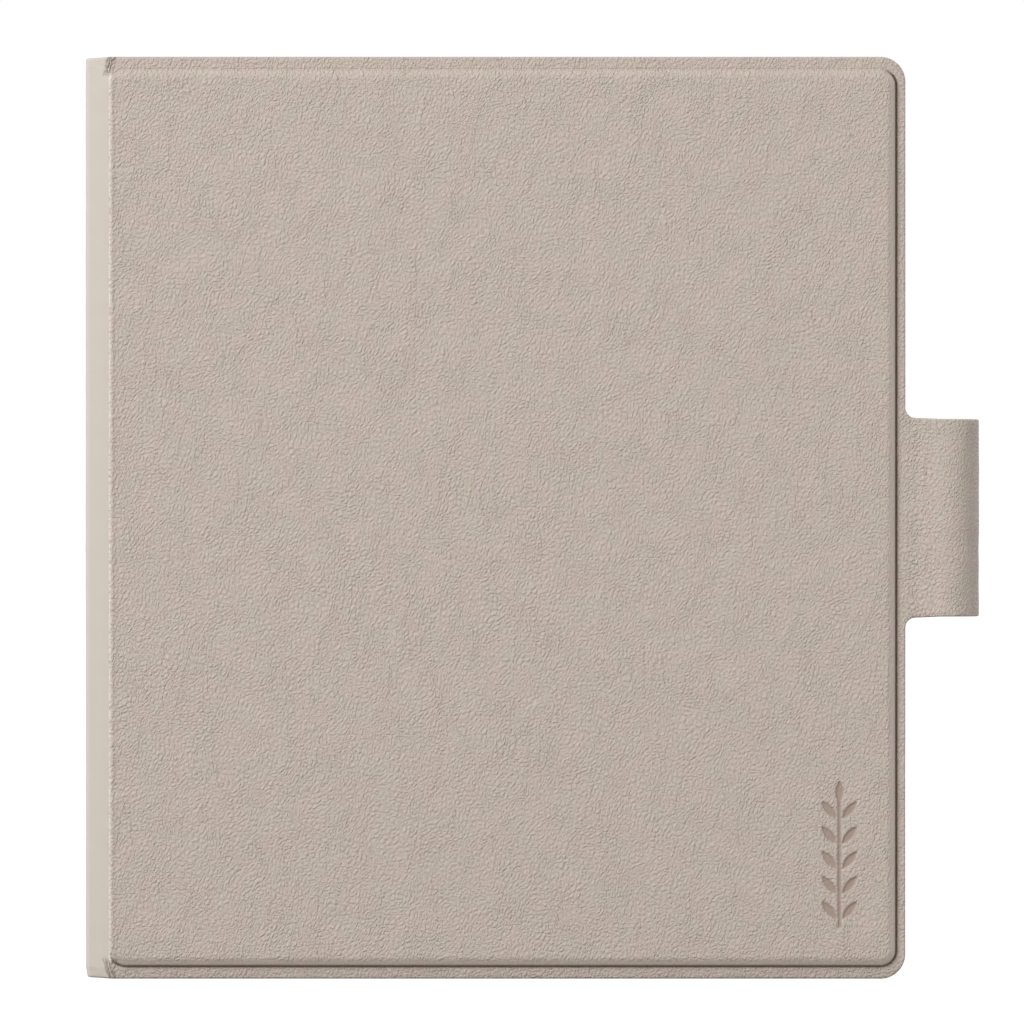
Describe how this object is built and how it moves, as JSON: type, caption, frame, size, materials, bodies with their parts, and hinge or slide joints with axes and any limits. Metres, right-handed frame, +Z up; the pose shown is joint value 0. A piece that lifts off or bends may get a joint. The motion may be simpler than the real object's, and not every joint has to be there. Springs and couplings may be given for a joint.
{
  "type": "e-reader in folding cover",
  "caption": "E-reader with page keys inside a book-style leather cover that folds right round its spine, with a pen loop at the fore edge.",
  "frame": {"origin": "centre of the back cover's flat outer face", "axes": "+Z up with the closed cover standing upright, +X from the spine towards the pen loop, +Y out of the back face (the front cover faces -Y)"},
  "size_m": [0.1551, 0.0115, 0.1604],
  "materials": {
    "cover_leather": "fine pebbled grain, satin",
    "cover_board": "grey board",
    "cover_lining": "short-nap microfibre",
    "stiffener": "sheet",
    "magnet": "nickel plated",
    "shell_plastic": "fine matte texture",
    "key_plastic": "smooth satin",
    "frame_metal": "bead-blasted",
    "screen_paper": "matte, paper-like",
    "lens_glass": "etched anti-glare",
    "clear_sheet": "clear",
    "tape": "adhesive foam",
    "circuit_board": "solder mask",
    "flat_cable": "polyimide",
    "chip": "moulded epoxy",
    "sheet_steel": "tin plated",
    "led_white": "phosphor",
    "battery_pouch": "foil pouch",
    "wire": "insulated",
    "speaker_box": "moulded",
    "connector": "moulded"
  },
  "bodies": {
    "root": {"back_cover_skin": "cover_leather", "back_cover_board": "cover_board", "back_cover_magnets": "magnet", "back_cover_lining": "cover_lining", "back_hinge_skin": "cover_leather", "back_hinge_lining": "cover_lining", "rear_shell": "shell_plastic", "front_bezel": "shell_plastic", "mid_frame": "frame_metal", "display_tape": "tape", "eink_panel": "screen_paper", "light_guide": "clear_sheet", "touch_sensor": "clear_sheet", "cover_lens": "lens_glass", "frontlight_strip": "flat_cable", "frontlight_leds": "led_white", "button_board": "circuit_board", "page_switches": "sheet_steel", "button_board_screws": "sheet_steel", "power_switch": "chip", "power_flex": "flat_cable", "mainboard": "circuit_board", "main_chip": "chip", "memory_chips": "chip", "power_chip": "chip", "chip_shield": "sheet_steel", "hall_sensor": "chip", "microphone": "sheet_steel", "microsd_socket": "sheet_steel", "board_connectors": "connector", "board_screws": "sheet_steel", "usb_c_port": "sheet_steel", "display_flex": "flat_cable", "touch_flex": "flat_cable", "button_flex": "flat_cable", "battery_tape": "tape", "battery": "battery_pouch", "battery_lead": "wire", "antenna_flex": "flat_cable", "speaker": "speaker_box", "speaker_mesh": "sheet_steel", "closure_plate": "sheet_steel", "reader_magnets": "magnet", "frame_screws": "sheet_steel"},
    "spine": {"spine_skin": "cover_leather", "spine_stiffener": "stiffener", "spine_lining": "cover_lining"},
    "front_cover": {"front_cover_skin": "cover_leather", "front_cover_board": "cover_board", "front_closure_magnets": "magnet", "front_wake_magnet": "magnet", "front_cover_lining": "cover_lining", "pen_loop": "cover_leather", "front_hinge_skin": "cover_leather", "front_hinge_lining": "cover_lining"},
    "page_button_prev": {"page_button_prev": "key_plastic"},
    "page_button_next": {"page_button_next": "key_plastic"},
    "power_button": {"power_button": "key_plastic"}
  },
  "joints": [
    {"name": "spine_fold", "type": "hinge", "parent": "root", "child": "spine", "pos_m": [-0.0706, -0.0028, 0], "axis": [0, 0, -1], "range_deg": [0, 179.9], "deforming": ["back_hinge_skin", "back_hinge_lining"]},
    {"name": "cover_fold", "type": "hinge", "parent": "spine", "child": "front_cover", "pos_m": [-0.0706, -0.0087, 0], "axis": [0, 0, -1], "range_deg": [0, 179.9], "deforming": ["front_hinge_skin", "front_hinge_lining"]},
    {"name": "page_prev_press", "type": "slide", "parent": "root", "child": "page_button_prev", "axis": [0, 1, 0], "range_m": [0, 0.0004]},
    {"name": "page_next_press", "type": "slide", "parent": "root", "child": "page_button_next", "axis": [0, 1, 0], "range_m": [0, 0.0004]},
    {"name": "power_press", "type": "slide", "parent": "root", "child": "power_button", "axis": [0, 0, -1], "range_m": [0, 0.0003]}
  ],
  "couplings": [
    {"joint": "cover_fold", "follows": "spine_fold", "ratio": 1}
  ]
}
